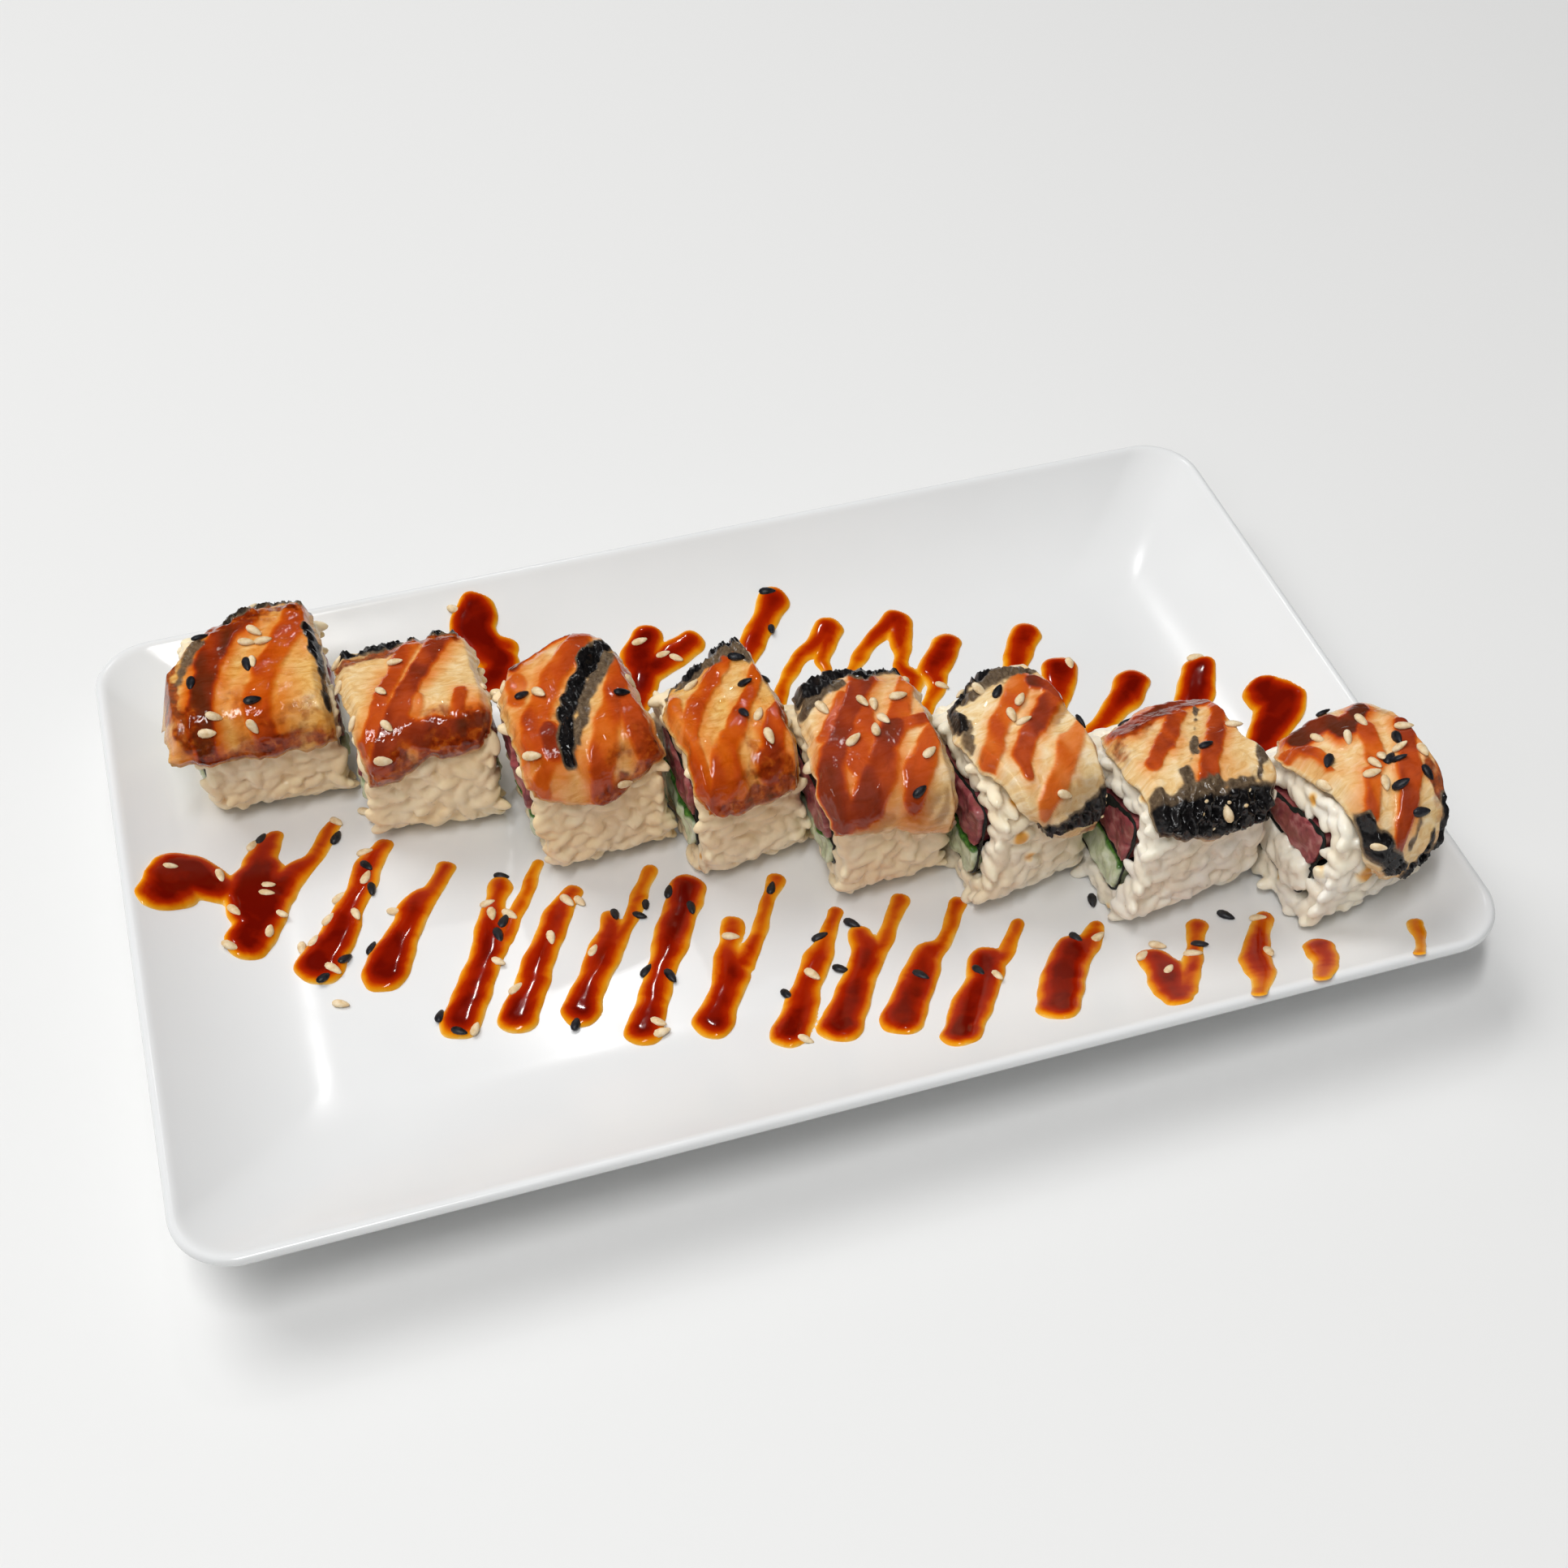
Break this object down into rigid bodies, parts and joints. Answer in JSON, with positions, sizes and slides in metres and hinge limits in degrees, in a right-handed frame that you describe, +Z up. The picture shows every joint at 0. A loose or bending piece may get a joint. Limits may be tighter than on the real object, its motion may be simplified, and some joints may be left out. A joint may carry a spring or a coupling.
{
  "type": "eel sushi roll on a plate",
  "caption": "Sliced grilled-eel sushi roll standing in a stepped diagonal row on a rectangular white porcelain plate with sauce drips and sesame seeds.",
  "frame": {"origin": "on the table under the middle of the plate, at the bottom centre of the bounding box", "axes": "+X along the plate's long side towards the end with the slice nearest the viewer, +Y across the plate to its far side, +Z up"},
  "size_m": [0.2564, 0.1622, 0.0457],
  "materials": {
    "porcelain": "white glazed porcelain, smooth and glossy",
    "rice": "steamed short-grain rice, moist and slightly translucent",
    "seaweed": "thin roasted seaweed, dark green-black",
    "tuna": "raw tuna, dark purple-red and moist",
    "cucumber": "pale green cucumber with a darker skin",
    "glazed_eel": "grilled eel under a glossy red-brown soy glaze"
  },
  "bodies": {
    "root": {"plate": "porcelain", "rice_1": "rice", "nori_1": "seaweed", "tuna_1": "tuna", "eel_1": "glazed_eel", "cucumber_1": "cucumber", "rice_2": "rice", "nori_2": "seaweed", "tuna_2": "tuna", "eel_2": "glazed_eel", "cucumber_2": "cucumber", "rice_3": "rice", "nori_3": "seaweed", "tuna_3": "tuna", "eel_3": "glazed_eel", "cucumber_3": "cucumber", "rice_4": "rice", "nori_4": "seaweed", "tuna_4": "tuna", "eel_4": "glazed_eel", "cucumber_4": "cucumber", "rice_5": "rice", "nori_5": "seaweed", "tuna_5": "tuna", "eel_5": "glazed_eel", "cucumber_5": "cucumber", "rice_6": "rice", "nori_6": "seaweed", "tuna_6": "tuna", "eel_6": "glazed_eel", "cucumber_6": "cucumber", "rice_7": "rice", "nori_7": "seaweed", "tuna_7": "tuna", "eel_7": "glazed_eel", "cucumber_7": "cucumber", "rice_8": "rice", "nori_8": "seaweed", "tuna_8": "tuna", "eel_8": "glazed_eel", "clump_8": "rice"}
  },
  "joints": []
}
